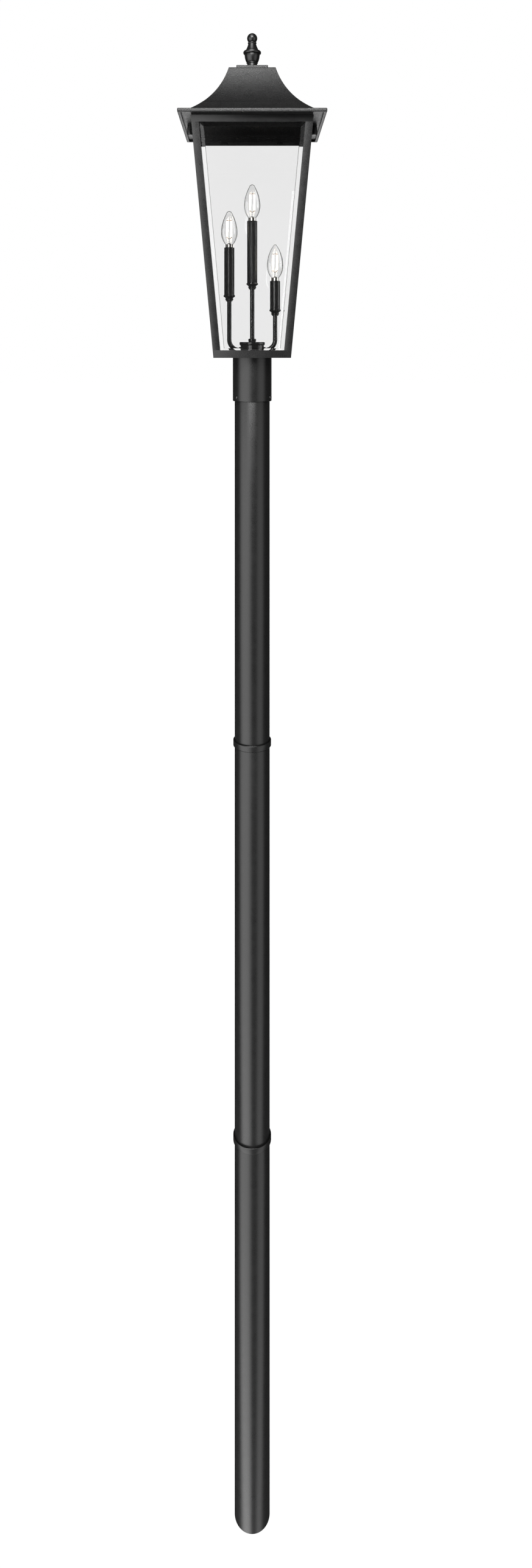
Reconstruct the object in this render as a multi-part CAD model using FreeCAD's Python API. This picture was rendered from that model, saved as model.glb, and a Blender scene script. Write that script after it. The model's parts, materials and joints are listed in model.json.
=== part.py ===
"""Post lantern: a round three-section post carrying a tapered square lantern with three candle lamps.

Millimetres, +Z up, origin on the post's axis at its bottom end. The front of the lantern faces -Y.
"""
import FreeCAD, Part
import math
import os

V = FreeCAD.Vector
UP = V(0, 0, 1)
ORIGIN = V(0, 0, 0)

# Post
post_outer_diameter = 76.2
post_wall = 2.0
post_lower_length = 811.9
post_middle_length = 844.3
post_upper_length = 830.2
coupling_ring_diameter = 82.4
coupling_ring_height = 14.0
coupling_lip_rounding = 0.7
coupling_groove_width = 1.6
coupling_groove_depth = 3.0
coupling_chamfer = 2.0
coupling_spigot_length = 60.0
coupling_spigot_wall = 3.0
coupling_spigot_clearance = 0.15

# Fitter under the lantern
fitter_length = 94.7
fitter_outer_diameter = 84.3
fitter_bore_clearance = 0.6
fitter_edge_rounding = 1.5
set_screw_height = 8.6
set_screw_head_diameter = 7.6
set_screw_head_height = 2.6
set_screw_rim_height = 0.9
set_screw_dome_radius = 3.0
set_screw_dome_height = 2.1
set_screw_flat_radius = 1.3
set_screw_diameter = 4.8
set_screw_slot_width = 1.1
set_screw_slot_depth = 1.2
set_screw_tip_clearance = 0.25
set_screw_first_angle = 217.0
set_screw_count = 3
small_hole_clearance = 0.1

# Lantern cage
cage_height = 499.0
cage_bottom_width = 162.7
cage_top_width = 252.5
cage_wall = 2.5
stile_face_width = 16.0
bottom_rail_height = 16.0
top_rail_height = 14.2
top_rail_flange_width = 5.0
top_rail_flange_thickness = 2.0
base_plate_thickness = 3.0
plate_fit_clearance = 0.1

# Bevelled glass panes
glass_thickness = 5.0
glass_edge_thickness = 2.0
glass_bevel_width = 16.5
glass_seat_gap = 0.2
glass_corner_gap = 0.8
glass_floor_gap = 0.5
glass_top_overlap = 7.0

# Bent clips that hold the panes
clip_width = 14.0
clip_thickness = 1.0
clip_leg_height = 8.0
clip_hook_length = 5.5
clip_foot_length = 9.0
clip_gap = 0.2
clip_spacing_share = 0.5

# Lugs, knobs and washers that hold the roof down
lug_end_radius = 6.0
lug_thickness = 2.5
lug_hole_offset = 9.0
knob_diameter = 12.8
knob_height = 11.6
knob_end_rounding = 3.6
knob_top_rounding = 0.9
knob_flute_count = 16
knob_flute_radius = 0.55
knob_flute_depth = 0.37
knob_screw_diameter = 5.0
knob_screw_clearance = 0.05
knob_screw_cover = 1.2
lug_hole_clearance = 0.35
washer_diameter = 11.6
washer_thickness = 1.0

# Roof
eave_width = 304.0
eave_rim_height = 7.7
eave_plate_thickness = 3.2
eave_lip_width = 6.0
eave_corner_radius = 2.4
eave_edge_radius = 1.8
eave_opening_width = 220.0
roof_boss_radius = 5.6
seal_width = 3.4
seal_setback = 1.4
collar_clearance = 1.0
collar_thickness = 1.5
collar_depth = 4.5
collar_flange_width = 9.0
bell_foot_width = 270.8
bell_crown_width = 99.6
bell_height = 110.8
bell_arc_radius = 194.4
bell_wall = 1.6
bell_crown_rounding = 1.6
cap_plate_width = 68.0
cap_plate_thickness = 9.5
cap_plate_rounding = 1.6

# Finial
finial_foot_radius = 10.8
finial_foot_height = 11.4
finial_bead_radius = 12.4
finial_bead_height = 3.8
finial_cup_low_radius = 12.8
finial_cup_high_radius = 16.4
finial_cup_height = 16.2
finial_cup_middle_radius = 15.4
finial_cup_middle_height = 7.3
finial_flange_radius = 19.3
finial_flange_height = 8.4
finial_flange_rounding = 3.9
finial_flare_low_radius = 14.6
finial_flare_height = 15.0
finial_flare_middle_radius = 11.0
finial_neck_radius = 8.5
finial_ring_radius = 9.6
finial_ring_height = 3.6
finial_ball_radius = 11.15
finial_ball_sink = 2.7
finial_bolt_diameter = 6.0
finial_bolt_reach = 20.0
finial_bolt_end_gap = 1.0
finial_bolt_head_diameter = 11.0
finial_bolt_head_height = 4.5

# Candle cluster
canopy_diameter = 50.8
canopy_height = 23.6
canopy_wall = 1.5
canopy_lid_diameter = 55.0
canopy_lid_thickness = 6.9
canopy_lid_rounding = 1.8
neck_nut_diameter = 16.8
neck_nut_height = 7.4
neck_nut_rounding = 2.2
stem_diameter = 9.5
stem_wall = 1.0
stem_lower_reach = 5.0
nipple_diameter = 7.4
nipple_bore_diameter = 5.0
nipple_head_diameter = 18.0
nipple_head_height = 3.0
nipple_overlap = 10.0
nipple_nut_diameter = 14.0
nipple_nut_height = 4.0
arm_spread = 49.8
arm_bend_radius = 22.5
arm_axis_height = 12.9
arm_inner_reach = 4.0
arm_nut_diameter = 13.4
arm_nut_thickness = 3.4
lead_diameter = 3.4
lead_entry = 3.0
lead_end_gap = 0.1

cup_rim_diameter = 25.2
cup_rim_height = 4.3
cup_neck_diameter = 21.6
cup_lip_width = 0.6
cup_height = 13.5
cup_waist_diameter = 15.4
cup_flare_middle_diameter = 17.6
cup_ring_diameter = 17.6
cup_ring_height = 3.5
cup_foot_diameter = 14.2
cup_foot_height = 2.2
cup_seat_depth = 2.2
tube_end_reach = 4.0
sleeve_diameter = 22.0
sleeve_wall = 1.2
sleeve_cup_clearance = 0.1
left_cup_bottom = 119.0
middle_cup_bottom = 144.9
right_cup_bottom = 87.6
left_sleeve_length = 105.2
middle_sleeve_length = 137.1
right_sleeve_length = 64.1
holder_clearance = 0.15
holder_length = 34.0
holder_recess = 0.8
holder_bracket_diameter = 9.4
holder_bracket_wall = 1.2

# Lamps
lamp_base_diameter = 11.9
lamp_base_length = 17.0
lamp_base_clearance = 0.05
lamp_contact_diameter = 5.0
lamp_contact_height = 1.5
lamp_contact_gap = 0.3
lamp_collar_diameter = 16.8
lamp_collar_height = 6.6
lamp_collar_gap = 0.3
bulb_neck_radius = 8.3
bulb_radius = 17.5
bulb_belly_height = 26.0
bulb_shoulder_height = 63.0
bulb_shoulder_radius = 8.6
bulb_height = 72.6
bulb_round_tip_radius = 6.6
bulb_round_tip_angle = 15.0
bulb_pointed_tip_radius = 4.2
bulb_pointed_tip_angle = 30.0
bulb_wall = 0.8
core_foot_radius = 6.4
core_foot_height = 3.0
core_rod_radius = 2.1
core_rod_height = 14.0
filament_radius = 0.95
filament_length = 33.0
filament_base_height = 17.0
filament_spread_x = 4.7
filament_spread_y = 3.2
support_radius = 0.45
support_embed = 0.4

# Places that follow from the sizes above
coupling_one_bottom = post_lower_length
post_middle_bottom = coupling_one_bottom + coupling_ring_height
coupling_two_bottom = post_middle_bottom + post_middle_length
post_upper_bottom = coupling_two_bottom + coupling_ring_height
post_top = post_upper_bottom + post_upper_length
post_radius = post_outer_diameter / 2
post_bore_radius = post_radius - post_wall

cage_bottom = post_top
cage_top = cage_bottom + cage_height
cage_taper = (cage_top_width - cage_bottom_width) / 2 / cage_height
taper_angle = math.atan(cage_taper)
cage_wall_level = cage_wall / math.cos(taper_angle)
plate_top = cage_bottom + base_plate_thickness
fitter_bore_radius = post_radius + fitter_bore_clearance

rim_top = cage_top + eave_rim_height
soffit = rim_top - eave_plate_thickness
bell_top = rim_top + bell_height
cap_plate_top = bell_top + cap_plate_thickness
lug_axis = cage_top_width / 2 + lug_hole_offset
lug_bottom = cage_top - lug_thickness
knob_top = lug_bottom - washer_thickness

stem_radius = stem_diameter / 2
stem_bore_radius = stem_radius - stem_wall
canopy_top = plate_top + canopy_height
lid_top = canopy_top + canopy_lid_thickness
arm_axis = plate_top + arm_axis_height
sleeve_bore_radius = sleeve_diameter / 2 - sleeve_wall

lamp_tips = {
    "left": (bulb_round_tip_radius, bulb_round_tip_angle),
    "middle": (bulb_round_tip_radius, bulb_round_tip_angle),
    "right": (bulb_pointed_tip_radius, bulb_pointed_tip_angle),
}

candles = {
    "left": (-arm_spread, plate_top + left_cup_bottom, left_sleeve_length),
    "middle": (0.0, plate_top + middle_cup_bottom, middle_sleeve_length),
    "right": (arm_spread, plate_top + right_cup_bottom, right_sleeve_length),
}


def cylinder(radius, bottom, top, x=0.0, y=0.0):
    """Upright solid cylinder."""
    return Part.makeCylinder(radius, top - bottom, V(x, y, bottom))


def tube(outer_radius, inner_radius, bottom, top, x=0.0, y=0.0):
    """Upright open tube."""
    return cylinder(outer_radius, bottom, top, x, y).cut(cylinder(inner_radius, bottom, top, x, y))


def block(x_low, x_high, y_low, y_high, z_low, z_high):
    """Box between two opposite corners."""
    return Part.makeBox(x_high - x_low, y_high - y_low, z_high - z_low, V(x_low, y_low, z_low))


def square_block(half, bottom, top):
    """Square block centred on the axis."""
    return block(-half, half, -half, half, bottom, top)


def closed_solid(polygons):
    """Solid bounded by flat polygons."""
    faces = [Part.Face(Part.makePolygon(list(points) + [points[0]])) for points in polygons]
    shell = Part.Shell(faces)
    shell.sewShape()
    solid = Part.Solid(shell)
    if solid.Volume < 0:
        solid.reverse()
    return solid


def prism_between(low, high):
    """Solid between two rings of as many points, with flat sides."""
    sides = []
    count = len(low)
    for index in range(count):
        after = (index + 1) % count
        sides.append([low[index], low[after], high[after], high[index]])
    return closed_solid([low, high] + sides)


def square_points(half, height):
    """Corners of a level square centred on the axis."""
    return [V(-half, -half, height), V(half, -half, height), V(half, half, height), V(-half, half, height)]


def cage_half(height):
    """Half width of the cage's outside at a height."""
    return cage_bottom_width / 2 + (height - cage_bottom) * cage_taper


def cage_frustum(bottom, top, inset=0.0):
    """Part of the tapered cage's solid outline, drawn in by a level distance."""
    low = square_points(cage_half(bottom) - inset, bottom)
    high = square_points(cage_half(top) - inset, top)
    return prism_between(low, high)


def profile_face(start, runs):
    """Face in the XZ plane: a run of one point is straight, of two an arc, of more a smooth curve."""
    edges = []
    here = V(start[0], 0, start[1])
    for run in runs:
        end = V(run[-1][0], 0, run[-1][1])
        if len(run) > 2:
            curve = Part.BSplineCurve()
            curve.interpolate([here] + [V(x, 0, z) for x, z in run])
            edges.append(curve.toShape())
        elif len(run) == 2:
            middle = V(run[0][0], 0, run[0][1])
            edges.append(Part.Arc(here, middle, end).toShape())
        else:
            edges.append(Part.LineSegment(here, end).toShape())
        here = end
    first = V(start[0], 0, start[1])
    if here.distanceToPoint(first) > 1e-6:
        edges.append(Part.LineSegment(here, first).toShape())
    return Part.Face(Part.Wire(edges))


def turned(start, runs):
    """Solid of revolution about the axis."""
    return profile_face(start, runs).revolve(ORIGIN, UP, 360)


def moved(shape, x=0.0, y=0.0, z=0.0):
    """Copy of a shape at another place."""
    copy = shape.copy()
    copy.translate(V(x, y, z))
    return copy


def turned_about_axis(shape, angle):
    """Copy of a shape turned about the post's axis."""
    copy = shape.copy()
    copy.rotate(ORIGIN, UP, angle)
    return copy


def rounded_disc(radius, bottom, top, rounding, round_bottom=False):
    """Disc with its upper rim rounded, and its lower rim too if asked."""
    near = rounding * (1 - math.sqrt(0.5))
    start = (0, bottom)
    runs = []
    if round_bottom:
        runs.append([(radius - rounding, bottom)])
        runs.append([(radius - near, bottom + near), (radius, bottom + rounding)])
    else:
        runs.append([(radius, bottom)])
    runs.append([(radius, top - rounding)])
    runs.append([(radius - near, top - near), (radius - rounding, top)])
    runs.append([(0, top)])
    return turned(start, runs)


def hexagon(across_corners, bottom, top):
    """Upright hexagonal block."""
    points = []
    reach = across_corners / 2
    for index in range(6):
        angle = math.radians(60 * index)
        points.append(V(reach * math.cos(angle), reach * math.sin(angle), bottom))
    face = Part.Face(Part.makePolygon(points + [points[0]]))
    return face.extrude(V(0, 0, top - bottom))


def post_section(bottom, length):
    """One straight length of the post."""
    return tube(post_radius, post_bore_radius, bottom, bottom + length)


def post_coupling(ring_bottom):
    """Cast coupling: a ring with a grooved seat on top, and a spigot up and down."""
    ring_top = ring_bottom + coupling_ring_height
    radius = coupling_ring_diameter / 2
    rounding = coupling_lip_rounding
    near = rounding * (1 - math.sqrt(0.5))
    groove_outer = post_radius + coupling_groove_width
    groove_bottom = ring_top - coupling_groove_depth
    ring = turned((0, ring_bottom), [
        [(radius - coupling_chamfer, ring_bottom)],
        [(radius, ring_bottom + coupling_chamfer)],
        [(radius, ring_top - rounding)],
        [(radius - near, ring_top - near), (radius - rounding, ring_top)],
        [(groove_outer, ring_top)],
        [(groove_outer, groove_bottom)],
        [(post_radius, groove_bottom)],
        [(post_radius, ring_top)],
        [(0, ring_top)]])
    spigot_radius = post_bore_radius - coupling_spigot_clearance
    spigot = cylinder(spigot_radius, ring_bottom - coupling_spigot_length, ring_top + coupling_spigot_length)
    bore = cylinder(spigot_radius - coupling_spigot_wall, ring_bottom - coupling_spigot_length,
                    ring_top + coupling_spigot_length)
    return ring.fuse(spigot).cut(bore).removeSplitter()


def radial_cylinder(radius, near, far, height, angle):
    """Level cylinder that points away from the axis."""
    body = Part.makeCylinder(radius, far - near, V(near, 0, height), V(1, 0, 0))
    return turned_about_axis(body, angle)


def set_screw_angles():
    """Directions of the screws round the fitter."""
    return [set_screw_first_angle + 360.0 / set_screw_count * index for index in range(set_screw_count)]


def fitter_tube():
    """Tube that slips over the post's top and carries the cage."""
    bottom = cage_bottom - fitter_length
    radius = fitter_outer_diameter / 2
    rounding = fitter_edge_rounding
    near = rounding * (1 - math.sqrt(0.5))
    body = turned((fitter_bore_radius, bottom), [
        [(radius - rounding, bottom)],
        [(radius - near, bottom + near), (radius, bottom + rounding)],
        [(radius, cage_bottom)],
        [(fitter_bore_radius, cage_bottom)]])
    height = bottom + set_screw_height
    for angle in set_screw_angles():
        body = body.cut(radial_cylinder(set_screw_diameter / 2, post_radius, radius, height, angle))
    return body


def set_screws():
    """Slotted screws that clamp the fitter on the post."""
    height = cage_bottom - fitter_length + set_screw_height
    seat = fitter_outer_diameter / 2
    tip = post_radius + set_screw_tip_clearance
    shank_radius = set_screw_diameter / 2 - small_hole_clearance
    head_top = set_screw_head_height
    head_radius = set_screw_head_diameter / 2
    head = turned((0, 0), [
        [(head_radius, 0)],
        [(head_radius, set_screw_rim_height)],
        [(set_screw_dome_radius, set_screw_dome_height), (set_screw_flat_radius, head_top)],
        [(0, head_top)]])
    slot = block(-head_radius, head_radius, -set_screw_slot_width / 2, set_screw_slot_width / 2,
                 head_top - set_screw_slot_depth, head_top)
    head = head.cut(slot)
    head.rotate(ORIGIN, V(0, 1, 0), 90)
    head.translate(V(seat, 0, height))
    shank = Part.makeCylinder(shank_radius, seat - tip, V(tip, 0, height), V(1, 0, 0))
    screw = head.fuse(shank).removeSplitter()
    return Part.makeCompound([turned_about_axis(screw, angle) for angle in set_screw_angles()])


def bottom_rail():
    """Square ring at the foot of the cage."""
    top = cage_bottom + bottom_rail_height
    return cage_frustum(cage_bottom, top).cut(cage_frustum(cage_bottom, top, cage_wall_level))


def top_rail():
    """Square ring at the head of the cage, with a flange turned in for the seal."""
    bottom = cage_top - top_rail_height
    ring = cage_frustum(bottom, cage_top).cut(cage_frustum(bottom, cage_top, cage_wall_level))
    flange_outer = cage_half(cage_top) - cage_wall_level
    flange_inner = cage_half(cage_top) - top_rail_flange_width
    flange_bottom = cage_top - top_rail_flange_thickness
    blank = cage_frustum(flange_bottom, cage_top, cage_wall_level)
    flange = blank.cut(square_block(min(flange_inner, flange_outer), flange_bottom, cage_top))
    return ring.fuse(flange).removeSplitter()


def corner_stile(side_x, side_y):
    """Angle bar along one corner of the cage, between the two rails."""
    bottom = cage_bottom + bottom_rail_height
    top = cage_top - top_rail_height
    outer_low = cage_half(bottom)
    outer_high = cage_half(top)

    def corner_ring(outer, height):
        legs = [(0, 0), (stile_face_width, 0), (stile_face_width, cage_wall_level),
                (cage_wall_level, cage_wall_level), (cage_wall_level, stile_face_width),
                (0, stile_face_width)]
        return [V(side_x * (outer - dx), side_y * (outer - dy), height) for dx, dy in legs]

    return prism_between(corner_ring(outer_low, bottom), corner_ring(outer_high, top))


def base_plate():
    """Floor of the cage, inside the bottom rail."""
    half = cage_half(cage_bottom) - cage_wall_level - plate_fit_clearance
    plate = square_block(half, cage_bottom, plate_top)
    return plate.cut(cylinder(nipple_diameter / 2 + small_hole_clearance, cage_bottom, plate_top))


def on_front_face(across, along, depth):
    """Point given in the front face's own axes: across, up the slope and inwards."""
    low = V(0, -cage_half(cage_bottom), cage_bottom)
    slope = V(0, -math.sin(taper_angle), math.cos(taper_angle))
    inwards = V(0, math.cos(taper_angle), math.sin(taper_angle))
    return low + V(across, 0, 0) + slope * along + inwards * depth


def along_slope(height):
    """Distance up the front face's slope to a height on its outside."""
    return (height - cage_bottom) / math.cos(taper_angle)


def glass_limits():
    """Lower and upper ends of a pane, up the slope."""
    low = along_slope(plate_top + glass_floor_gap)
    high = along_slope(cage_top - top_rail_height + glass_top_overlap)
    return low, high


def glass_outside():
    """Depth of a pane's outer face, where its bevel just clears the bottom rail's edge."""
    hidden = along_slope(cage_bottom + bottom_rail_height) - glass_limits()[0]
    bevel_slope = (glass_thickness - glass_edge_thickness) / glass_bevel_width
    return cage_wall + glass_seat_gap - bevel_slope * (glass_bevel_width - hidden)


def glass_pane(angle):
    """Bevelled pane that stands behind the rails and stiles of one side."""
    low, high = glass_limits()
    outside = glass_outside()
    inside = outside + glass_thickness
    edge = inside - glass_edge_thickness
    margin = inside / math.cos(taper_angle) + glass_corner_gap
    lean = math.sin(taper_angle)
    draw_in = glass_bevel_width * math.sqrt(1 + lean * lean)

    def ring(start, end, narrower, depth):
        corners = []
        for along, side in ((start, -1), (start, 1), (end, 1), (end, -1)):
            half = cage_bottom_width / 2 + along * lean - margin - narrower
            corners.append(on_front_face(side * half, along, depth))
        return corners

    outer = ring(low + glass_bevel_width, high - glass_bevel_width, draw_in, outside)
    rim = ring(low, high, 0, edge)
    inner = ring(low, high, 0, inside)
    polygons = [outer, inner]
    for first, second in ((outer, rim), (rim, inner)):
        for index in range(4):
            after = (index + 1) % 4
            polygons.append([first[index], first[after], second[after], second[index]])
    return turned_about_axis(closed_solid(polygons), angle)


def slab_on_face(across, width, start, end, depth_near, depth_far):
    """Flat block in the front face's own axes."""
    low = []
    high = []
    for side, depth in ((-1, depth_near), (1, depth_near), (1, depth_far), (-1, depth_far)):
        low.append(on_front_face(across + side * width / 2, start, depth))
        high.append(on_front_face(across + side * width / 2, end, depth))
    return prism_between(low, high)


def clips_of_front():
    """The front pane's clips: two feet on the floor and two hooks over the pane's top."""
    low, high = glass_limits()
    leg_near = glass_outside() + glass_thickness + clip_gap
    leg_far = leg_near + clip_thickness
    clips = []
    for side in (-1, 1):
        across = side * cage_half(cage_bottom) * clip_spacing_share
        leg = slab_on_face(across, clip_width, 0, low + clip_leg_height, leg_near, leg_far)
        leg = leg.cut(square_block(cage_top_width, cage_bottom - clip_leg_height, plate_top))
        start = on_front_face(0, low, leg_near).y
        foot = block(across - clip_width / 2, across + clip_width / 2, start, start + clip_foot_length,
                     plate_top, plate_top + clip_thickness)
        clips.append(leg.fuse(foot).removeSplitter())
        across = side * cage_half(cage_top) * clip_spacing_share
        bend_end = high + clip_gap + clip_thickness
        bridge = slab_on_face(across, clip_width, high + clip_gap, bend_end, cage_wall, leg_far)
        hook = slab_on_face(across, clip_width, high - clip_hook_length, bend_end, leg_near, leg_far)
        clips.append(bridge.fuse(hook).removeSplitter())
    return clips


def glass_clips():
    """Clips of all four panes."""
    clips = []
    for quarter in range(4):
        clips.extend(turned_about_axis(clip, 90 * quarter) for clip in clips_of_front())
    return Part.makeCompound(clips)


def roof_lugs():
    """Two ears on the side rails, through which the knobs' screws pass."""
    lugs = []
    for side in (-1, 1):
        arm = block(min(0, side * lug_axis), max(0, side * lug_axis), -lug_end_radius, lug_end_radius,
                    lug_bottom, cage_top)
        end = cylinder(lug_end_radius, lug_bottom, cage_top, side * lug_axis)
        hole = cylinder(knob_screw_diameter / 2 + lug_hole_clearance, lug_bottom, cage_top, side * lug_axis)
        lug = arm.fuse(end).cut(cage_frustum(cage_bottom, cage_top)).cut(hole)
        lugs.append(lug.removeSplitter())
    return Part.makeCompound(lugs)


def knob(side):
    """Fluted round knob on a screw that reaches up into the roof's boss."""
    head_bottom = knob_top - knob_height
    near = knob_end_rounding * (1 - math.sqrt(0.5))
    radius = knob_diameter / 2
    body = turned((0, head_bottom), [
        [(radius - knob_end_rounding, head_bottom)],
        [(radius - near, head_bottom + near), (radius, head_bottom + knob_end_rounding)],
        [(radius, knob_top - knob_top_rounding)],
        [(radius - knob_top_rounding, knob_top)],
        [(0, knob_top)]])
    screw_top = rim_top - knob_screw_cover - knob_screw_clearance
    body = body.fuse(cylinder(knob_screw_diameter / 2, knob_top - knob_top_rounding, screw_top))
    for index in range(knob_flute_count):
        angle = math.radians(360 / knob_flute_count * index)
        reach = radius + knob_flute_radius - knob_flute_depth
        flute = cylinder(knob_flute_radius, head_bottom, knob_top,
                         reach * math.cos(angle), reach * math.sin(angle))
        body = body.cut(flute)
    return moved(body.removeSplitter(), side * lug_axis)


def knob_washer(side):
    """Flat washer between a knob and its lug."""
    return tube(washer_diameter / 2, knob_screw_diameter / 2 + knob_screw_clearance,
                knob_top, lug_bottom, side * lug_axis)


def eave_plate():
    """Square plate with a turned-down lip, a central opening and two screw bosses."""
    half = eave_width / 2
    plate = square_block(half, cage_top, rim_top)
    upright = [edge for edge in plate.Edges if abs(edge.tangentAt(edge.FirstParameter).z) > 0.9]
    plate = plate.makeFillet(eave_corner_radius, upright)
    top_edges = [edge for edge in plate.Edges if edge.BoundBox.ZMin > rim_top - 0.01]
    plate = plate.makeFillet(eave_edge_radius, top_edges)
    plate = plate.cut(square_block(half - eave_lip_width, cage_top, soffit))
    plate = plate.cut(square_block(eave_opening_width / 2, cage_top, rim_top))
    for side in (-1, 1):
        x = side * lug_axis
        plate = plate.fuse(cylinder(roof_boss_radius, cage_top, (soffit + rim_top) / 2, x))
        plate = plate.cut(cylinder(knob_screw_diameter / 2 + knob_screw_clearance, cage_top,
                                   rim_top - knob_screw_cover, x))
    return plate.removeSplitter()


def roof_collar():
    """Angle ring under the eave that centres the roof inside the cage."""
    skirt_outer = cage_half(cage_top) - top_rail_flange_width - collar_clearance
    skirt_inner = skirt_outer - collar_thickness
    flange_inner = skirt_outer - collar_flange_width
    skirt_bottom = cage_top - collar_depth
    skirt = square_block(skirt_outer, skirt_bottom, soffit)
    skirt = skirt.cut(square_block(skirt_inner, skirt_bottom, soffit))
    flange_bottom = soffit - collar_thickness
    flange = square_block(skirt_inner, flange_bottom, soffit)
    flange = flange.cut(square_block(flange_inner, flange_bottom, soffit))
    return skirt.fuse(flange).removeSplitter()


def roof_seal():
    """Square rubber seal between the top rail and the eave."""
    outer = cage_half(cage_top) - seal_setback
    inner = outer - seal_width
    return square_block(outer, cage_top, soffit).cut(square_block(inner, cage_top, soffit))


def bell_profile(offset, bottom, top, rounding):
    """Half outline of the bell in the XZ plane, closed across to its mirror."""
    foot_half = bell_foot_width / 2
    crown_half = bell_crown_width / 2
    chord = math.hypot(foot_half - crown_half, bell_height)
    reach = math.sqrt(bell_arc_radius ** 2 - (chord / 2) ** 2)
    middle_x = (foot_half + crown_half) / 2
    middle_z = rim_top + bell_height / 2
    centre_x = middle_x + reach * bell_height / chord
    centre_z = middle_z + reach * (foot_half - crown_half) / chord
    radius = bell_arc_radius + offset

    def half_at(height):
        return centre_x - math.sqrt(radius ** 2 - (height - centre_z) ** 2)

    arc_top = top - rounding
    low = half_at(bottom)
    between = half_at((bottom + arc_top) / 2)
    high = half_at(arc_top)
    middle_height = (bottom + arc_top) / 2
    near = rounding * (1 - math.sqrt(0.5))
    runs = [[(low, bottom)], [(between, middle_height), (high, arc_top)]]
    if rounding > 0:
        runs.append([(high - near, top - near), (high - rounding, top)])
        runs.append([(rounding - high, top)])
        runs.append([(near - high, top - near), (-high, arc_top)])
    else:
        runs.append([(-high, top)])
    runs.append([(-between, middle_height), (-low, bottom)])
    return profile_face((-low, bottom), runs)


def bell_solid(offset, bottom, top, rounding):
    """Square bell: the common part of the same outline pushed through both ways."""
    across = bell_profile(offset, bottom, top, rounding)
    across.translate(V(0, -bell_foot_width, 0))
    one = across.extrude(V(0, 2 * bell_foot_width, 0))
    other = one.copy()
    other.rotate(ORIGIN, UP, 90)
    return one.common(other)


def bell_roof():
    """Bell-shaped sheet roof with a flat crown."""
    outer = bell_solid(0, rim_top, bell_top, bell_crown_rounding)
    inner = bell_solid(bell_wall, rim_top, bell_top - bell_wall, 0)
    hole = cylinder(finial_bolt_diameter / 2 + small_hole_clearance, rim_top, bell_top)
    return outer.cut(inner).cut(hole).removeSplitter()


def cap_plate():
    """Square plate under the finial with its upper edges rounded."""
    plate = square_block(cap_plate_width / 2, bell_top, cap_plate_top)
    edges = [edge for edge in plate.Edges if edge.BoundBox.ZMax > cap_plate_top - 0.01]
    plate = plate.makeFillet(cap_plate_rounding, edges)
    return plate.cut(cylinder(finial_bolt_diameter / 2 + small_hole_clearance, bell_top, cap_plate_top))


def finial():
    """Turned finial: foot, bead, cup, flange, flare, ring and ball."""
    z = cap_plate_top
    foot_top = z + finial_foot_height
    bead_top = foot_top + finial_bead_height
    cup_top = bead_top + finial_cup_height
    flange_top = cup_top + finial_flange_height
    flare_top = flange_top + finial_flare_height
    ring_top = flare_top + finial_ring_height
    ball_centre = ring_top - finial_ball_sink + finial_ball_radius
    seam_radius = math.sqrt(finial_ball_radius ** 2 - (finial_ball_radius - finial_ball_sink) ** 2)
    rounding = finial_flange_rounding
    near = rounding * (1 - math.sqrt(0.5))
    runs = [
        [(finial_foot_radius, z)],
        [(finial_foot_radius, foot_top)],
        [(finial_bead_radius, foot_top + finial_bead_height / 2), (finial_foot_radius, bead_top)],
        [(finial_cup_low_radius, bead_top)],
        [(finial_cup_middle_radius, bead_top + finial_cup_middle_height), (finial_cup_high_radius, cup_top)],
        [(finial_flange_radius - rounding, cup_top)],
        [(finial_flange_radius - near, cup_top + near), (finial_flange_radius, cup_top + rounding)],
        [(finial_flange_radius, flange_top - rounding)],
        [(finial_flange_radius - near, flange_top - near), (finial_flange_radius - rounding, flange_top)],
        [(finial_flare_low_radius, flange_top)],
        [(finial_flare_middle_radius, flange_top + finial_flare_height / 2), (finial_neck_radius, flare_top)],
        [(finial_ring_radius, (flare_top + ring_top) / 2), (seam_radius, ring_top)],
        [(finial_ball_radius, ball_centre), (0, ball_centre + finial_ball_radius)],
    ]
    body = turned((0, z), runs)
    hole = cylinder(finial_bolt_diameter / 2 + small_hole_clearance, z,
                    z + finial_bolt_reach + finial_bolt_end_gap)
    return body.cut(hole).removeSplitter()


def finial_bolt():
    """Hexagon bolt from under the crown up into the finial."""
    crown_underside = bell_top - bell_wall
    head = hexagon(finial_bolt_head_diameter, crown_underside - finial_bolt_head_height, crown_underside)
    shank = cylinder(finial_bolt_diameter / 2, crown_underside - finial_bolt_head_height,
                     cap_plate_top + finial_bolt_reach)
    return head.fuse(shank).removeSplitter()


def canopy_cup():
    """Round wiring cup on the floor, with a hole for each arm."""
    cup = cylinder(canopy_diameter / 2, plate_top, canopy_top)
    cup = cup.cut(cylinder(canopy_diameter / 2 - canopy_wall, plate_top + canopy_wall, canopy_top))
    cup = cup.cut(cylinder(nipple_diameter / 2 + small_hole_clearance, plate_top, canopy_top))
    arms = Part.makeCylinder(stem_radius + small_hole_clearance, 2 * canopy_diameter,
                             V(-canopy_diameter, 0, arm_axis), V(1, 0, 0))
    return cup.cut(arms)


def canopy_lid():
    """Lid of the wiring cup."""
    lid = rounded_disc(canopy_lid_diameter / 2, canopy_top, lid_top, canopy_lid_rounding, True)
    return lid.cut(cylinder(stem_radius + small_hole_clearance, canopy_top, lid_top))


def neck_nut():
    """Round nut where the middle stem leaves the lid."""
    nut = rounded_disc(neck_nut_diameter / 2, lid_top, lid_top + neck_nut_height, neck_nut_rounding, True)
    return nut.cut(cylinder(stem_radius + small_hole_clearance, lid_top, lid_top + neck_nut_height))


def stem_bottom():
    """Height of the middle stem's lower end, inside the wiring cup."""
    return canopy_top - stem_lower_reach


def tube_top(side):
    """Height of a stem's or arm's upper end, above its cup's seat."""
    return sleeve_bottom(side) + tube_end_reach


def middle_stem():
    """Straight tube of the middle candle."""
    return tube(stem_radius, stem_bore_radius, stem_bottom(), tube_top("middle"))


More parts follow.
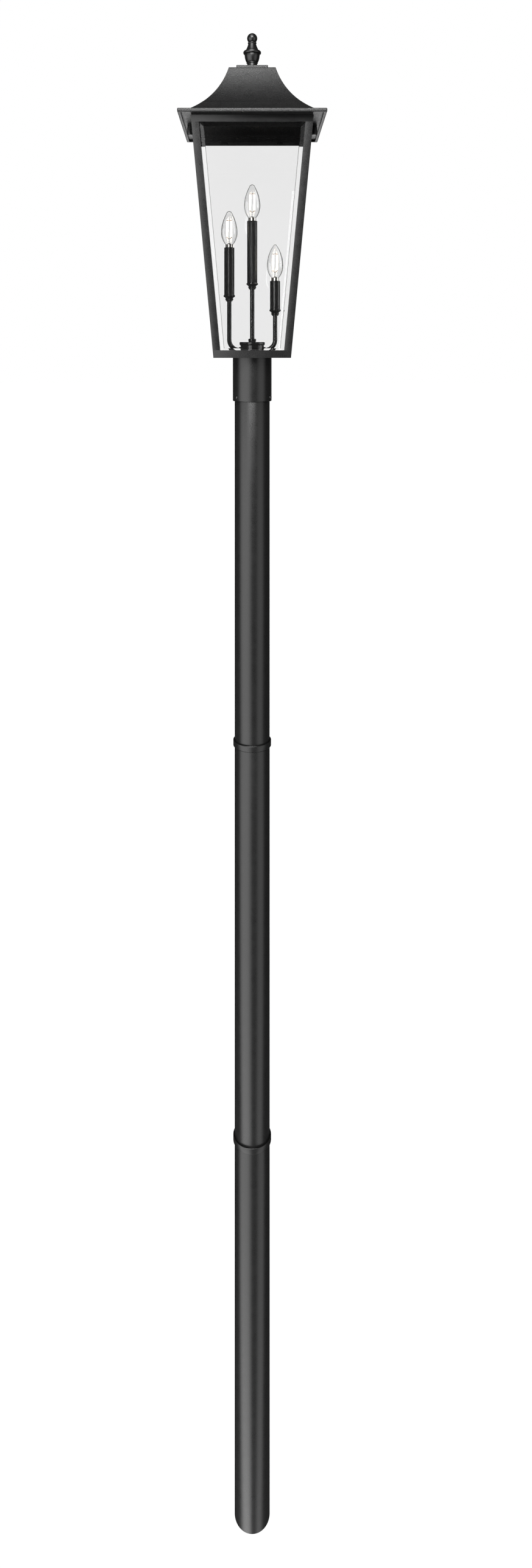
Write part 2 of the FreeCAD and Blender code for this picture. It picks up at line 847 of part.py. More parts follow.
def arm_path(side, inner_end, top):
    """Centre line of an arm: out of the wiring cup, round the bend and up."""
    x = candles[side][0]
    direction = 1 if x > 0 else -1
    bend_start = V(x - direction * arm_bend_radius, 0, arm_axis)
    bend_end = V(x, 0, arm_axis + arm_bend_radius)
    chord = arm_bend_radius * (1 - math.sqrt(0.5))
    bend_middle = V(x - direction * chord, 0, arm_axis + chord)
    start = V(direction * inner_end, 0, arm_axis)
    edges = [Part.LineSegment(start, bend_start).toShape(),
             Part.Arc(bend_start, bend_middle, bend_end).toShape(),
             Part.LineSegment(bend_end, V(x, 0, top)).toShape()]
    return Part.Wire(edges), start


def piped(path, start, radius):
    """Round bar along a path that starts level."""
    circle = Part.Wire(Part.makeCircle(radius, start, V(1, 0, 0)))
    return path.makePipeShell([circle], True, False)


def arm(side):
    """Bent tube that carries a side candle."""
    inner_end = canopy_diameter / 2 - canopy_wall - arm_inner_reach
    path, start = arm_path(side, inner_end, tube_top(side))
    return piped(path, start, stem_radius).cut(piped(path, start, stem_bore_radius))


def arm_nuts():
    """Round nuts outside the wiring cup, one on each arm."""
    nuts = []
    for direction in (-1, 1):
        axis = V(direction, 0, 0)
        seat = V(direction * canopy_diameter / 2, 0, arm_axis)
        nut = Part.makeCylinder(arm_nut_diameter / 2, arm_nut_thickness, seat, axis)
        nut = nut.cut(Part.makeCylinder(stem_radius + small_hole_clearance, arm_nut_thickness, seat, axis))
        nuts.append(nut.cut(cylinder(canopy_diameter / 2, plate_top, canopy_top)))
    return Part.makeCompound(nuts)


def nipple():
    """Hollow headed tube that holds the wiring cup on the floor."""
    top = stem_bottom() + nipple_overlap
    head = cylinder(nipple_head_diameter / 2, cage_bottom - nipple_head_height, cage_bottom)
    body = head.fuse(cylinder(nipple_diameter / 2, cage_bottom - nipple_head_height, top))
    body = body.cut(cylinder(nipple_bore_diameter / 2, cage_bottom - nipple_head_height, top))
    return body.removeSplitter()


def nipple_nut():
    """Hexagon nut on the nipple, inside the wiring cup."""
    bottom = plate_top + canopy_wall
    nut = hexagon(nipple_nut_diameter, bottom, bottom + nipple_nut_height)
    return nut.cut(cylinder(nipple_diameter / 2 + small_hole_clearance, bottom, bottom + nipple_nut_height))


def candle_cup(side):
    """Turned cup at the foot of a candle sleeve."""
    x, z, _ = candles[side]
    foot_top = z + cup_foot_height
    ring_top = foot_top + cup_ring_height
    rim_bottom = z + cup_height - cup_rim_height
    rim = cup_rim_diameter / 2
    waist = cup_waist_diameter / 2
    ring = cup_ring_diameter / 2
    neck = cup_neck_diameter / 2
    lip = sleeve_diameter / 2 + sleeve_cup_clearance + cup_lip_width
    flare_middle = (cup_flare_middle_diameter / 2, (ring_top + rim_bottom) / 2)
    runs = [
        [(cup_foot_diameter / 2, z)],
        [(cup_foot_diameter / 2, foot_top)],
        [(ring, (foot_top + ring_top) / 2), (waist, ring_top)],
        [flare_middle, (neck, rim_bottom)],
        [(rim, rim_bottom + cup_rim_height / 2), (lip, z + cup_height)],
        [(0, z + cup_height)],
    ]
    body = turned((0, z), runs)
    seat = cylinder(sleeve_diameter / 2 + sleeve_cup_clearance, sleeve_bottom(side), z + cup_height)
    floor_hole = cylinder(stem_radius + small_hole_clearance, z, z + cup_height)
    return moved(body.cut(seat).cut(floor_hole).removeSplitter(), x)


def sleeve_bottom(side):
    """Height of a sleeve's lower end, on its cup's seat."""
    return candles[side][1] + cup_height - cup_seat_depth


def sleeve_top(side):
    """Height of a sleeve's upper end."""
    return sleeve_bottom(side) + candles[side][2]


def candle_sleeve(side):
    """Candle-shaped cover tube."""
    return tube(sleeve_diameter / 2, sleeve_bore_radius, sleeve_bottom(side), sleeve_top(side),
                candles[side][0])


def lampholder(side):
    """Small-base lampholder on a hollow bracket, inside the sleeve."""
    x = candles[side][0]
    top = sleeve_top(side) - holder_recess
    bottom = top - holder_length
    body = cylinder(sleeve_bore_radius - holder_clearance, bottom, top, x)
    bore_bottom = lamp_base_bottom(side) - lamp_contact_gap
    body = body.cut(cylinder(lamp_base_diameter / 2 + lamp_base_clearance, bore_bottom, top, x))
    bracket = tube(holder_bracket_diameter / 2, holder_bracket_diameter / 2 - holder_bracket_wall,
                   tube_top(side), bottom + lead_entry, x)
    lead_hole = cylinder(holder_bracket_diameter / 2 - holder_bracket_wall,
                         tube_top(side), bottom + lead_entry, x)
    return body.fuse(bracket).cut(lead_hole).removeSplitter()


def lead_top(side):
    """Height where a lead ends, inside its lampholder."""
    return sleeve_top(side) - holder_recess - holder_length + lead_entry - lead_end_gap


def leads():
    """The leads inside the two arms and the middle stem."""
    pieces = []
    for side in ("left", "right"):
        inner_end = canopy_diameter / 2 - canopy_wall - arm_inner_reach - lead_entry
        path, start = arm_path(side, inner_end, lead_top(side))
        pieces.append(piped(path, start, lead_diameter / 2))
    pieces.append(cylinder(lead_diameter / 2, cage_bottom - nipple_head_height, lead_top("middle")))
    return Part.makeCompound(pieces)


def lamp_bottom(side):
    """Height where a lamp's collar starts, just above its sleeve."""
    return sleeve_top(side) + lamp_collar_gap


def lamp_base_bottom(side):
    """Height of a lamp's centre contact."""
    return lamp_bottom(side) - lamp_base_length - lamp_contact_height


def lamp_base(side):
    """Metal screw base of a lamp, with its collar and its centre contact."""
    bottom = lamp_base_bottom(side)
    shell_bottom = bottom + lamp_contact_height
    collar_bottom = lamp_bottom(side)
    collar_top = collar_bottom + lamp_collar_height
    body = cylinder(lamp_contact_diameter / 2, bottom, shell_bottom)
    body = body.fuse(cylinder(lamp_base_diameter / 2, shell_bottom, collar_bottom))
    body = body.fuse(cylinder(lamp_collar_diameter / 2, collar_bottom, collar_top))
    return moved(body.removeSplitter(), candles[side][0])


def envelope_curve(bottom, inset):
    """Points of a candle lamp's glass from its neck by its belly to its shoulder."""
    belly = bulb_belly_height
    neck_in = bulb_radius - bulb_neck_radius
    lower_radius = (neck_in ** 2 + belly ** 2) / (2 * neck_in)
    rise = bulb_shoulder_height - belly
    fall = bulb_radius - bulb_shoulder_radius
    upper_radius = (fall ** 2 + rise ** 2) / (2 * fall)

    def place(arc_radius, height):
        reach = math.sqrt((arc_radius - inset) ** 2 - (height - belly) ** 2)
        return (bulb_radius - arc_radius + reach, bottom + height)

    lower = [place(lower_radius, belly * share / 3) for share in range(3)]
    upper = [place(upper_radius, belly + rise * share / 4) for share in range(5)]
    return lower + upper


def envelope_tip(side, bottom, inset):
    """Start, middle and end of the ball at the glass's tip."""
    tip_radius, start_angle = lamp_tips[side]
    centre = bottom + bulb_height - tip_radius
    radius = tip_radius - inset
    places = []
    for angle in (start_angle, (start_angle + 90) / 2, 90):
        turn = math.radians(angle)
        places.append((radius * math.cos(turn), centre + radius * math.sin(turn)))
    return places


def lamp_glass(side):
    """Hollow glass envelope with a rounded or pointed tip, open at its neck."""
    bottom = lamp_bottom(side) + lamp_collar_height
    outer = envelope_curve(bottom, 0)
    inner = envelope_curve(bottom, bulb_wall)
    outer_tip = envelope_tip(side, bottom, 0)
    inner_tip = envelope_tip(side, bottom, bulb_wall)
    runs = [[outer[0]], outer[1:], [outer_tip[0]], outer_tip[1:],
            [inner_tip[2]], [inner_tip[1], inner_tip[0]], [inner[-1]], inner[-2::-1]]
    return moved(turned(inner[0], runs), candles[side][0])


def lamp_core(side):
    """Glass stem with its support wires, and four straight filaments round it."""
    x = candles[side][0]
    bottom = lamp_bottom(side) + lamp_collar_height
    rod_top = bottom + core_rod_height
    foot = Part.makeCone(core_foot_radius, core_rod_radius, core_foot_height, V(0, 0, bottom))
    stem = foot.fuse(cylinder(core_rod_radius, bottom, rod_top))
    filament_bottom = bottom + filament_base_height
    rods = []
    for side_x in (-1, 1):
        for side_y in (-1, 1):
            place = V(side_x * filament_spread_x, side_y * filament_spread_y, filament_bottom)
            rods.append(Part.makeCylinder(filament_radius, filament_length, place))
            start = V(0, 0, rod_top - core_rod_radius)
            reach = place - start
            wire = Part.makeCylinder(support_radius, reach.Length - support_embed, start, reach)
            stem = stem.fuse(wire)
    stem = stem.cut(Part.makeCompound(rods))
    pieces = [moved(stem.removeSplitter(), x)]
    pieces.extend(moved(rod, x) for rod in rods)
    return Part.makeCompound(pieces)


def all_parts():
    """Every piece of the lamp post by name."""
    parts = {
        "post_lower": post_section(0, post_lower_length),
        "post_middle": post_section(post_middle_bottom, post_middle_length),
        "post_upper": post_section(post_upper_bottom, post_upper_length),
        "coupling_lower": post_coupling(coupling_one_bottom),
        "coupling_upper": post_coupling(coupling_two_bottom),
        "fitter_tube": fitter_tube(),
        "set_screws": set_screws(),
        "base_plate": base_plate(),
        "bottom_rail": bottom_rail(),
        "top_rail": top_rail(),
        "glass_clips": glass_clips(),
        "roof_lugs": roof_lugs(),
        "canopy_cup": canopy_cup(),
        "canopy_lid": canopy_lid(),
        "neck_nut": neck_nut(),
        "middle_stem": middle_stem(),
        "arm_nuts": arm_nuts(),
        "nipple": nipple(),
        "nipple_nut": nipple_nut(),
        "leads": leads(),
        "eave_plate": eave_plate(),
        "roof_collar": roof_collar(),
        "roof_seal": roof_seal(),
        "bell_roof": bell_roof(),
        "cap_plate": cap_plate(),
        "finial": finial(),
        "finial_bolt": finial_bolt(),
    }
    for name_y, side_y in (("front", -1), ("back", 1)):
        for name_x, side_x in (("left", -1), ("right", 1)):
            parts["stile_" + name_y + "_" + name_x] = corner_stile(side_x, side_y)
    for quarter, name in enumerate(("front", "right", "back", "left")):
        parts["glass_" + name] = glass_pane(90 * quarter)
    for name, side in (("left", -1), ("right", 1)):
        parts["arm_" + name] = arm(name)
        parts["knob_" + name] = knob(side)
        parts["knob_washer_" + name] = knob_washer(side)
    for name in candles:
        parts["candle_cup_" + name] = candle_cup(name)
        parts["candle_sleeve_" + name] = candle_sleeve(name)
        parts["lampholder_" + name] = lampholder(name)
        parts["lamp_base_" + name] = lamp_base(name)
        parts["lamp_glass_" + name] = lamp_glass(name)
        parts["lamp_core_" + name] = lamp_core(name)
    return parts


os.makedirs("parts", exist_ok=True)
for part_name, part_shape in all_parts().items():
    part_shape.exportStep("parts/" + part_name + ".step")
    print(part_name, len(part_shape.Solids), part_shape.isValid(), round(part_shape.Volume, 1))
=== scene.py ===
"""Looks of the post lantern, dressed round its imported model. Metres, +Z up, the front faces -Y."""
import json
import math

import bpy
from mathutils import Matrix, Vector


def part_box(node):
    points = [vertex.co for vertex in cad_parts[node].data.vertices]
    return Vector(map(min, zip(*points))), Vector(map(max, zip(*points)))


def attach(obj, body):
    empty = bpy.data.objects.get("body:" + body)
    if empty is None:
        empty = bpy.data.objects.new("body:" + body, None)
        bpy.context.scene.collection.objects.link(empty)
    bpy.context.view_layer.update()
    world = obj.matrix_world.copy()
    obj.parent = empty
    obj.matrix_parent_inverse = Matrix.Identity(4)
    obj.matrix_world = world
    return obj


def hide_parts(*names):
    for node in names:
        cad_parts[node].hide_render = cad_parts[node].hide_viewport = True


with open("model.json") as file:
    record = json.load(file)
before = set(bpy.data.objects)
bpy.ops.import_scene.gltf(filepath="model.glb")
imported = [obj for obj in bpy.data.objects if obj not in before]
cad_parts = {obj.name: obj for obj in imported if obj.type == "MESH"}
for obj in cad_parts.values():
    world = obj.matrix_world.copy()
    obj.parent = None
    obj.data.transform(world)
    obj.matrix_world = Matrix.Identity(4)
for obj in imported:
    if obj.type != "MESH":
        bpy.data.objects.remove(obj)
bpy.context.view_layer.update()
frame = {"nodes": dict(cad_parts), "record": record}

# The photograph's view: its frame and horizon in its own pixels, and the camera's place
FRAME_WIDTH = 874
FRAME_HEIGHT = 2576
AXIS_COLUMN = 414.3
HORIZON_ROW = 565.0
FOCAL_PIXELS = 1602.0
CAMERA_DISTANCE = 2.122
CAMERA_HEIGHT = 2.5437
SENSOR_SIZE = 36.0

# Meshes: lengths that count as nothing, angles in degrees, and sides of round pieces
TOUCH = 1e-6
SMOOTH_ANGLE = 32.0
FLAT_ANGLE = 0.5
HIP_ANGLE = 60.0
POST_SIDES = 128
CAP_SIDES = 64
STEM_SIDES = 32
ROD_SIDES = 12
WIRE_SIDES = 8
ROD_EDGE_SHARE = 0.3
QUARTER_BOW = 0.29

# Post, couplings and fitter
POST_WALL = 0.002
COUPLING_LIP = 0.0007
COUPLING_GROOVE_WIDTH = 0.0016
COUPLING_GROOVE_DEPTH = 0.003
COUPLING_CHAMFER = 0.002
COUPLING_EDGE = 0.0002
COUPLING_EDGE_ANGLE = 40.0
SPIGOT_CLEARANCE = 0.00015
SPIGOT_WALL = 0.003
FITTER_BORE = 0.0387
FITTER_EDGE = 0.0015
TUBE_EDGE = 0.0004

# Roof
BELL_BOW = -0.01304
BELL_CROWN_HALF = 0.0498
BELL_WALL = 0.0016
BELL_FOOT_WALL = 0.00208
BELL_RINGS = 26
BELL_HIP_ROUNDING = 0.0012
BOLT_HOLE = 0.0031
EAVE_CORNER = 0.0024
EAVE_ROLL = 0.002
EAVE_ROLL_STEPS = (0.1, 0.3, 0.6, 1.0)

# Cage and its panes. A corner's reach is how far in from the rail's widest place it may lie.
CAGE_EDGE = 0.0007
ARRIS_WIDTH = 0.0005
PANE_LEAN = 0.09
PANE_SURFACES = 2.0
LONG_EDGE = 0.1
RAIL_EDGE_SHARE = 0.9
BOTTOM_RAIL_CORNER = 0.0035
TOP_RAIL_CORNER = 0.0075

# Lamps, with heights from the foot of the glass
FILAMENT_RADIUS = 0.0014
FILAMENT_START = 0.017
FILAMENT_LENGTH = 0.033
FILAMENT_SPREAD_X = 0.0047
FILAMENT_SPREAD_Y = 0.0032
WIRE_RADIUS = 0.00045
WIRE_KNEE = 0.0026
WIRE_KNEE_SPREAD = 0.7
TAG_RADIUS = 0.0009
TAG_LENGTH = 0.0015
STEM_FOOT = 0.0064
STEM_FLARE = 0.003
STEM_FLARE_BOW = -0.0007
STEM_ROD = 0.0021
STEM_TOP = 0.014
STEM_TIP_SHARE = 0.1
COLLAR_RADIUS = 0.0084
COLLAR_HEIGHT = 0.0066
SHELL_RADIUS = 0.00595
SHELL_LENGTH = 0.017
SHELL_FOOT = 0.0035
CONTACT_RADIUS = 0.0025
CONTACT_HEIGHT = 0.0015
CAP_EDGE = 0.0003
CAP_POLE = 0.0002
RIDGES = 5
RIDGE_PITCH = 0.0024
RIDGE_DEPTH = 0.0006
# Places along a ridge as shares of its pitch, each with the share of its depth that it lies in
RIDGE_SHAPE = ((0.0, 1.0), (0.28, 0.2), (0.45, 0.0), (0.62, 0.2))
# Places on the contact's tip as shares of its radius and height
CONTACT_TIP = ((0.5, 0.0), (0.9, 0.3))

# Powder coat: its orange peel against its grain, and how far each sways the gloss
PEEL_BREADTH = 14.0
PEEL_IN_TONE = 0.3
PEEL_IN_RELIEF = 0.4
GRAIN_GLOSS = 0.16
PEEL_GLOSS = 0.1
COAT_RELIEF = 0.6

# Other finishes: patterns to the metre, relief in metres and its strength, and sway of the gloss
GLASS_WAVES = 9.0
GLASS_RELIEF = 0.1
GLASS_INDEX = 1.5
METAL_DEPTH = 0.00003
METAL_RELIEF = 0.4
METAL_GLOSS = 0.2
MOULDING_DEPTH = 0.00004
MOULDING_RELIEF = 0.5
MOULDING_GLOSS = 0.15
FILAMENT_GRAIN = 700.0

# Floor, in metres and in shares of white
FLOOR_SIZE = 120
PAPER_SHADE = 0.02
PAPER_GLOW = 0.12

# Upright lights: degrees to the right of the camera, core and edge angles, and strength
LEFT_LIGHT = (-46, 14, 46, 2.6)
RIGHT_LIGHT = (55, 4, 30, 1.1)
GROUND_LIGHT = (-8, 20, 60, 0.08)
CROWN_LIGHT = (-14, 12, 46, 6.4)
FRONT_LIGHT = (-3, 4, 28, 20.0)
BACK_LIGHT = (180, 6, 16, 1.5)
CANDLE_LEFT_LIGHT = (-21, 2, 18, 6.0)
CANDLE_RIGHT_LIGHT = (90, 4, 30, 2.8)
# Degrees up over which they set in or fade
SIDES_FADE = (6, 16)
GROUND_FADE = (-5, -1.5)
CROWN_RISE = (32, 44)
FRONT_RISE = (8, 22)
FRONT_FADE = (30, 42)
BACK_RISE = (-45, -30)
BACK_FADE = (-8, -3)
# Round patches: degrees to the right and up, and core and edge angles
CROWN_PATCH = (-10, 22, 8, 80)
PANE_GAP = (0, 22.7, 4, 6)
ROOM_GLOW = 0.05

# Sockets of a Mix node that hold its colours
MIX_FACTOR = 0
MIX_FIRST = 6
MIX_SECOND = 7
MIX_RESULT = 2

behaviour = frame["record"]["behaviour"]
body_of = {node: body for body, members in behaviour["bodies"].items() for node in members}
slot_of = {part["node"]: part["material_slot"] for part in frame["record"]["subparts"]}


# Finishes

class Wire:
    """A node's output. Sums and products with it add Math nodes to its board."""

    def __init__(self, board, socket):
        self.board = board
        self.socket = socket

    def joined(self, operation, first, second):
        return self.board.add("ShaderNodeMath", {"operation": operation}, {0: first, 1: second})

    def __add__(self, other):
        return self.joined("ADD", self, other)

    def __radd__(self, other):
        return self.joined("ADD", other, self)

    def __sub__(self, other):
        return self.joined("SUBTRACT", self, other)

    def __rsub__(self, other):
        return self.joined("SUBTRACT", other, self)

    def __mul__(self, other):
        return self.joined("MULTIPLY", self, other)

    def __rmul__(self, other):
        return self.joined("MULTIPLY", other, self)


class Board:
    """The nodes of one material or of the studio."""

    def __init__(self, owner):
        owner.use_nodes = True
        self.tree = owner.node_tree

    def add(self, kind, settings=None, inputs=None, output=0):
        """Adds a node with its settings and inputs, and gives one of its outputs."""
        node = self.tree.nodes.new(kind)
        for key, value in (settings or {}).items():
            setattr(node, key, value)
        for key, value in (inputs or {}).items():
            if isinstance(value, Wire):
                self.tree.links.new(value.socket, node.inputs[key])
            else:
                node.inputs[key].default_value = value
        return Wire(self, node.outputs[output])

    def blend(self, factor, first, second):
        """Colour between two colours."""
        inputs = {MIX_FACTOR: factor, MIX_FIRST: first, MIX_SECOND: second}
        return self.add("ShaderNodeMix", {"data_type": "RGBA"}, inputs, MIX_RESULT)

    def clamped(self, operation, first, second):
        """Sum or difference, kept between 0 and 1."""
        return self.add("ShaderNodeMath", {"operation": operation, "use_clamp": True}, {0: first, 1: second})

    def path(self, kind):
        """What the light path so far is made of."""
        return self.add("ShaderNodeLightPath", output=kind)

    def behind_glass(self):
        """1 for a light path that has gone into the lantern and out of it, and 0 for any other."""
        return self.clamped("SUBTRACT", self.path("Transmission Depth"), PANE_SURFACES)

    def straight(self):
        """1 for what the eye sees directly or through glass, and 0 for what lights a surface."""
        bounces = self.path("Diffuse Depth") + self.path("Glossy Depth")
        direct = self.path("Is Camera Ray") + self.path("Is Transmission Ray") * (1.0 - bounces)
        return self.clamped("ADD", direct, 0.0)


class Finish(Board):
    """One finish: a material, and the nodes that its surface reads."""

    def __init__(self, name, fixed):
        self.material = bpy.data.materials.new(name)
        super().__init__(self.material)
        self.surface = self.tree.nodes["Principled BSDF"]
        for socket, value in fixed.items():
            self.surface.inputs[socket].default_value = value

    def feed(self, socket, wire):
        """Lets a node's output drive one socket of the surface."""
        self.tree.links.new(wire.socket, self.surface.inputs[socket])

    def place(self):
        """Places in the object's own metres."""
        return self.add("ShaderNodeTexCoord", output="Object")

    def noise(self, scale, detail, stretch=(1.0, 1.0, 1.0)):
        """Soft random pattern, so many to the metre."""
        spot = self.add("ShaderNodeMapping", inputs={"Vector": self.place(), "Scale": stretch})
        return self.add("ShaderNodeTexNoise", inputs={"Vector": spot, "Scale": scale, "Detail": detail})

    def relief(self, height, depth, strength):
        """Lets a pattern stand up from the surface by a depth."""
        bump = self.add("ShaderNodeBump", inputs={"Height": height, "Distance": depth, "Strength": strength})
        self.feed("Normal", bump)


def grey(shade):
    """Colour without a hue."""
    return (shade, shade, shade, 1)


def powder_coat(name, dark, pale, roughness, grain, depth):
    """Black powder coat between two shades: fine grain over a faint orange peel."""
    finish = Finish(name, {"Specular IOR Level": 0.5})
    fine = finish.noise(grain, 3.0)
    peel = finish.noise(grain / PEEL_BREADTH, 2.0)
    tone = fine * (1.0 - PEEL_IN_TONE) + peel * PEEL_IN_TONE
    finish.feed("Base Color", finish.blend(tone, grey(dark), grey(pale)))
    finish.feed("Roughness", (fine - 0.5) * GRAIN_GLOSS + (peel - 0.5) * PEEL_GLOSS + roughness)
    finish.relief(fine * (1.0 - PEEL_IN_RELIEF) + peel * PEEL_IN_RELIEF, depth, COAT_RELIEF)
    return finish.material


def clear_glass(name, tint, roughness, waviness):
    """Clear glass with a faint waviness."""
    finish = Finish(name, {"Base Color": grey(tint), "Transmission Weight": 1.0, "IOR": GLASS_INDEX,
                           "Roughness": roughness})
    finish.relief(finish.noise(GLASS_WAVES, 1.0), waviness, GLASS_RELIEF)
    return finish.material


def bright_metal(name, dark, pale, roughness, grain, stretch):
    """Plated or bare metal with fine marks along its grain."""
    finish = Finish(name, {"Metallic": 1.0})
    marks = finish.noise(grain, 3.0, stretch)
    finish.feed("Base Color", finish.blend(marks, dark, pale))
    finish.feed("Roughness", (marks - 0.5) * METAL_GLOSS + roughness)
    finish.relief(marks, METAL_DEPTH, METAL_RELIEF)
    return finish.material


def dull_moulding(name, dark, pale, roughness, grain):
    """Moulded plastic or rubber with a fine matt grain."""
    finish = Finish(name, {"Specular IOR Level": 0.4})
    specks = finish.noise(grain, 2.0)
    finish.feed("Base Color", finish.blend(specks, dark, pale))
    finish.feed("Roughness", (specks - 0.5) * MOULDING_GLOSS + roughness)
    finish.relief(specks, MOULDING_DEPTH, MOULDING_RELIEF)
    return finish.material


def glowing_filament(name, core, ends, strength):
    """Lit filament coating, a little warmer in its grain."""
    finish = Finish(name, {"Base Color": core, "Roughness": 0.6, "Emission Strength": strength})
    finish.feed("Emission Color", finish.blend(finish.noise(FILAMENT_GRAIN, 1.0), core, ends))
    return finish.material


POST_COAT = powder_coat("post_coat", 0.004, 0.009, 0.3, 900.0, 0.0002)
CAGE_COAT = powder_coat("cage_coat", 0.004, 0.012, 0.28, 800.0, 0.0003)
RAIL_COAT = powder_coat("rail_coat", 0.006, 0.012, 0.22, 700.0, 0.0002)
ROOF_COAT = powder_coat("roof_coat", 0.004, 0.016, 0.28, 760.0, 0.0018)
CANDLE_COAT = powder_coat("candle_coat", 0.003, 0.006, 0.24, 1200.0, 0.00006)
SLEEVE_COAT = powder_coat("sleeve_coat", 0.006, 0.014, 0.42, 600.0, 0.0008)
FINIAL_COAT = powder_coat("finial_coat", 0.004, 0.008, 0.28, 900.0, 0.0001)
PANE_GLASS = clear_glass("pane_glass", 0.97, 0.0, 0.00004)
# Dark tinted glass for thin strips on the front pane: painted shade for the dark line along its side bevels
PANE_EDGE_SHADE = clear_glass("pane_painted_edge_shade", 0.1, 0.15, 0.00004)
BULB_GLASS = clear_glass("bulb_glass", 0.98, 0.0, 0.00002)
NICKEL = bright_metal("nickel", (0.55, 0.53, 0.5, 1), (0.8, 0.78, 0.74, 1), 0.16, 600.0, (1, 1, 6))
ZINC = bright_metal("zinc", (0.42, 0.42, 0.4, 1), (0.62, 0.62, 0.6, 1), 0.4, 500.0, (1, 1, 1))
HOT_WIRE = bright_metal("support_wire", (0.3, 0.17, 0.1, 1), (0.5, 0.3, 0.18, 1), 0.35, 900.0, (1, 1, 1))
PHENOLIC = dull_moulding("phenolic", grey(0.012), (0.022, 0.021, 0.02, 1), 0.5, 700.0)
RUBBER = dull_moulding("seal_rubber", grey(0.012), grey(0.02), 0.8, 500.0)
NYLON = dull_moulding("washer_nylon", grey(0.014), grey(0.022), 0.55, 700.0)
LEAD_SLEEVE = dull_moulding("lead_sleeve", grey(0.015), grey(0.03), 0.5, 400.0)
FILAMENT = glowing_filament("filament", (1.0, 0.93, 0.8, 1), (1.0, 0.87, 0.68, 1), 7.0)

# Finish of each material slot, and of the nodes whose names start so
NODE_FINISHES = {
    "clear_glass": PANE_GLASS,
    "lamp_glass": BULB_GLASS,
    "lamp_core": BULB_GLASS,
    "nickel": NICKEL,
    "phenolic": PHENOLIC,
    "lead_insulation": LEAD_SLEEVE,
    "rubber": RUBBER,
    "zinc_steel": ZINC,
    "washer_nylon": NYLON,
    "black_powder_coat": CAGE_COAT,
}
FAMILY_FINISHES = {
    "candle_": CANDLE_COAT,
    "candle_sleeve_middle": SLEEVE_COAT,
    "neck_": CANDLE_COAT,
    "arm_": CANDLE_COAT,
    "canopy_": CANDLE_COAT,
    "middle_stem": CANDLE_COAT,
    "finial": FINIAL_COAT,
    "knob_left": FINIAL_COAT,
    "knob_right": FINIAL_COAT,
    "bell_": ROOF_COAT,
    "eave_": ROOF_COAT,
    "cap_": ROOF_COAT,
}


# Shaping

def bare():
    """Leaves nothing selected."""
    bpy.ops.object.select_all(action="DESELECT")


def pick(piece):
    """Selects one piece alone."""
    bare()
    piece.select_set(True)
    bpy.context.view_layer.objects.active = piece


def bowed(start, end, bow, steps):
    """Places along an arc that leaves its chord by the bow, outwards if positive. The start is left out."""
    first = Vector(start)
    last = Vector(end)
    chord = last - first
    outward = Vector((chord.y, -chord.x)).normalized()
    radius = (chord.length_squared / 4 + bow * bow) / (2 * bow)
    centre = (first + last) / 2 + outward * (bow - radius)
    arm = first - centre
    goal = last - centre
    sweep = math.atan2(arm.x * goal.y - arm.y * goal.x, arm.dot(goal))
    places = []
    for step in range(1, steps + 1):
        angle = sweep * step / steps
        turn_cos = math.cos(angle)
        turn_sin = math.sin(angle)
        places.append((centre.x + arm.x * turn_cos - arm.y * turn_sin,
                       centre.y + arm.x * turn_sin + arm.y * turn_cos))
    return places


def turned(name, outline, sides, closed=False, twist=0.0):
    """A ring on the axis, pulled from place to place of an outline of (radius, height)."""
    radius, height = outline[0]
    bare()
    bpy.ops.mesh.primitive_circle_add(vertices=sides, radius=radius, location=(0, 0, height),
                                      rotation=(0, 0, math.radians(twist)))
    piece = bpy.context.object
    piece.name = name
    bpy.ops.object.transform_apply(location=True, rotation=True, scale=True)
    bpy.ops.object.mode_set(mode="EDIT")
    bpy.ops.mesh.select_all(action="SELECT")
    for next_radius, next_height in outline[1:]:
        bpy.ops.mesh.extrude_region_move(TRANSFORM_OT_translate={"value": (0, 0, next_height - height)})
        growth = next_radius / radius
        bpy.ops.transform.resize(value=(growth, growth, 1), center_override=(0, 0, next_height))
        radius = next_radius
        height = next_height
    bpy.ops.mesh.select_all(action="SELECT")
    if closed:
        bpy.ops.mesh.remove_doubles(threshold=TOUCH)
    else:
        bpy.ops.mesh.fill_holes(sides=0)
    bpy.ops.mesh.select_all(action="SELECT")
    bpy.ops.mesh.normals_make_consistent(inside=False)
    bpy.ops.object.mode_set(mode="OBJECT")
    return piece


def soften(piece, width, segments=3, angle=30.0):
    """Rounds every edge that turns by more than an angle."""
    pick(piece)
    bpy.ops.object.modifier_add(type="BEVEL")
    bevel = piece.modifiers[-1]
    bevel.width = width
    bevel.segments = segments
    bevel.limit_method = "ANGLE"
    bevel.angle_limit = math.radians(angle)
    bpy.ops.object.modifier_apply(modifier=bevel.name)


def copy_of(node, whole_faces=True):
    """A copy of a flat-sided CAD piece, joined up, with its triangles made into whole faces if wanted."""
    piece = bpy.data.objects.new(node + "_dressed", frame["nodes"][node].data.copy())
    bpy.context.scene.collection.objects.link(piece)
    pick(piece)
    bpy.ops.mesh.customdata_custom_splitnormals_clear()
    bpy.ops.object.mode_set(mode="EDIT")
    bpy.ops.mesh.select_all(action="SELECT")
    bpy.ops.mesh.remove_doubles(threshold=TOUCH)
    if whole_faces:
        bpy.ops.mesh.dissolve_limited(angle_limit=math.radians(FLAT_ANGLE))
    bpy.ops.object.mode_set(mode="OBJECT")
    return piece


def round_edges(piece, width, wanted, segments=3, finish=-1):
    """Rounds the edges that a test of their two ends picks out, with another finish if wanted."""
    pick(piece)
    bpy.ops.object.mode_set(mode="EDIT")
    bpy.ops.mesh.select_mode(type="EDGE")
    bpy.ops.mesh.select_all(action="DESELECT")
    bpy.ops.object.mode_set(mode="OBJECT")
    points = piece.data.vertices
    for edge in piece.data.edges:
        edge.select = wanted(points[edge.vertices[0]].co, points[edge.vertices[1]].co)
    bpy.ops.object.mode_set(mode="EDIT")
    bpy.ops.mesh.bevel(offset=width, segments=segments, affect="EDGES", material=finish)
    bpy.ops.object.mode_set(mode="OBJECT")


def coat(piece, *finishes):
    """Gives a piece its finishes and takes away any others."""
    piece.data.materials.clear()
    for finish in finishes:
        piece.data.materials.append(finish)


